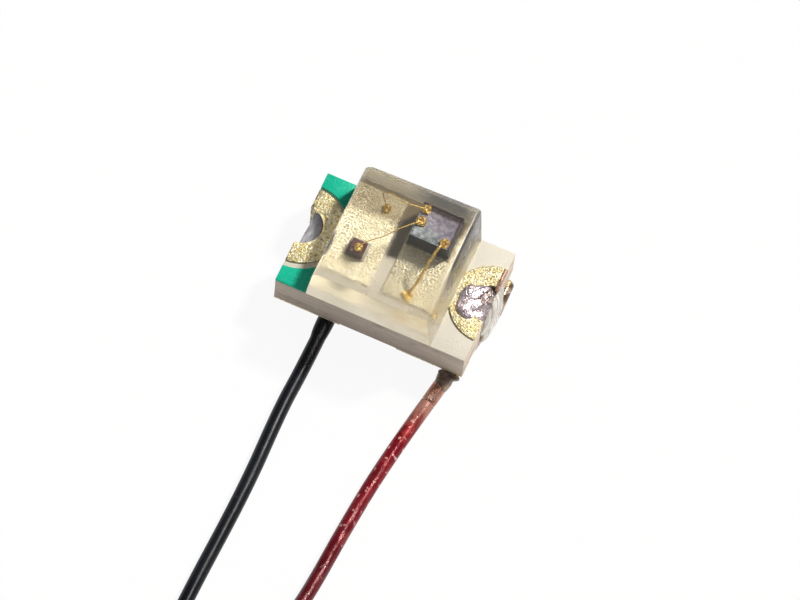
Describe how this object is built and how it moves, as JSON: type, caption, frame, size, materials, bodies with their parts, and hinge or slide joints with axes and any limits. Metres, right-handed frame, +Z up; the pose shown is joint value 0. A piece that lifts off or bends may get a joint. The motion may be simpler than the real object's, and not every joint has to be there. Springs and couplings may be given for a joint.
{
  "type": "smd led with soldered wires",
  "caption": "Clear chip LED in the 0805 outline with a driver chip inside, on a plated board, with a black and a red enamelled wire soldered underneath.",
  "frame": {"origin": "under the middle of the package, on the surface that it rests on", "axes": "+X along the board towards the anode end, +Z up out of the lens, wires leave towards -Y"},
  "size_m": [0.0044, 0.0084, 0.0011],
  "materials": {
    "laminate": "fine-grained white glass laminate, sawn edges",
    "solder_mask": "printed green film",
    "gold_foil": "gold-plated copper foil, stippled",
    "gold_wire": "drawn gold",
    "epoxy": "clear moulded epoxy with sawn, hazy sides",
    "silicon": "violet-grey polished silicon",
    "emitter": "red-brown crystal",
    "die_glue": "cured adhesive",
    "solder": "bright tin solder, crazed",
    "tinned_copper": "copper wire, thinly tinned",
    "black_enamel": "glossy black wire enamel",
    "red_enamel": "clear red wire enamel over copper",
    "tie_paper": "pale paper band"
  },
  "bodies": {
    "root": {"substrate": "laminate", "solder_mask_back": "solder_mask", "solder_mask_front": "solder_mask", "polarity_mark": "solder_mask", "cathode_pad": "gold_foil", "anode_pad": "gold_foil", "cathode_terminal": "gold_foil", "anode_terminal": "gold_foil", "cathode_castellation": "gold_foil", "anode_castellation": "gold_foil", "epoxy_lens": "epoxy", "driver_chip": "silicon", "driver_die_attach": "die_glue", "led_die": "emitter", "led_die_attach": "die_glue", "led_bond_wire": "gold_wire", "ground_bond_wire": "gold_wire", "supply_bond_wire": "gold_wire", "chip_bump_led": "gold_wire", "chip_bump_ground": "gold_wire", "cathode_solder": "solder", "anode_solder": "solder", "black_wire_tail": "tinned_copper", "red_wire_tail": "tinned_copper", "black_wire": "black_enamel", "red_wire": "red_enamel", "black_wire_coil": "black_enamel", "red_wire_coil": "red_enamel", "coil_tie": "tie_paper", "black_wire_tip": "tinned_copper", "red_wire_tip": "tinned_copper"}
  },
  "joints": []
}
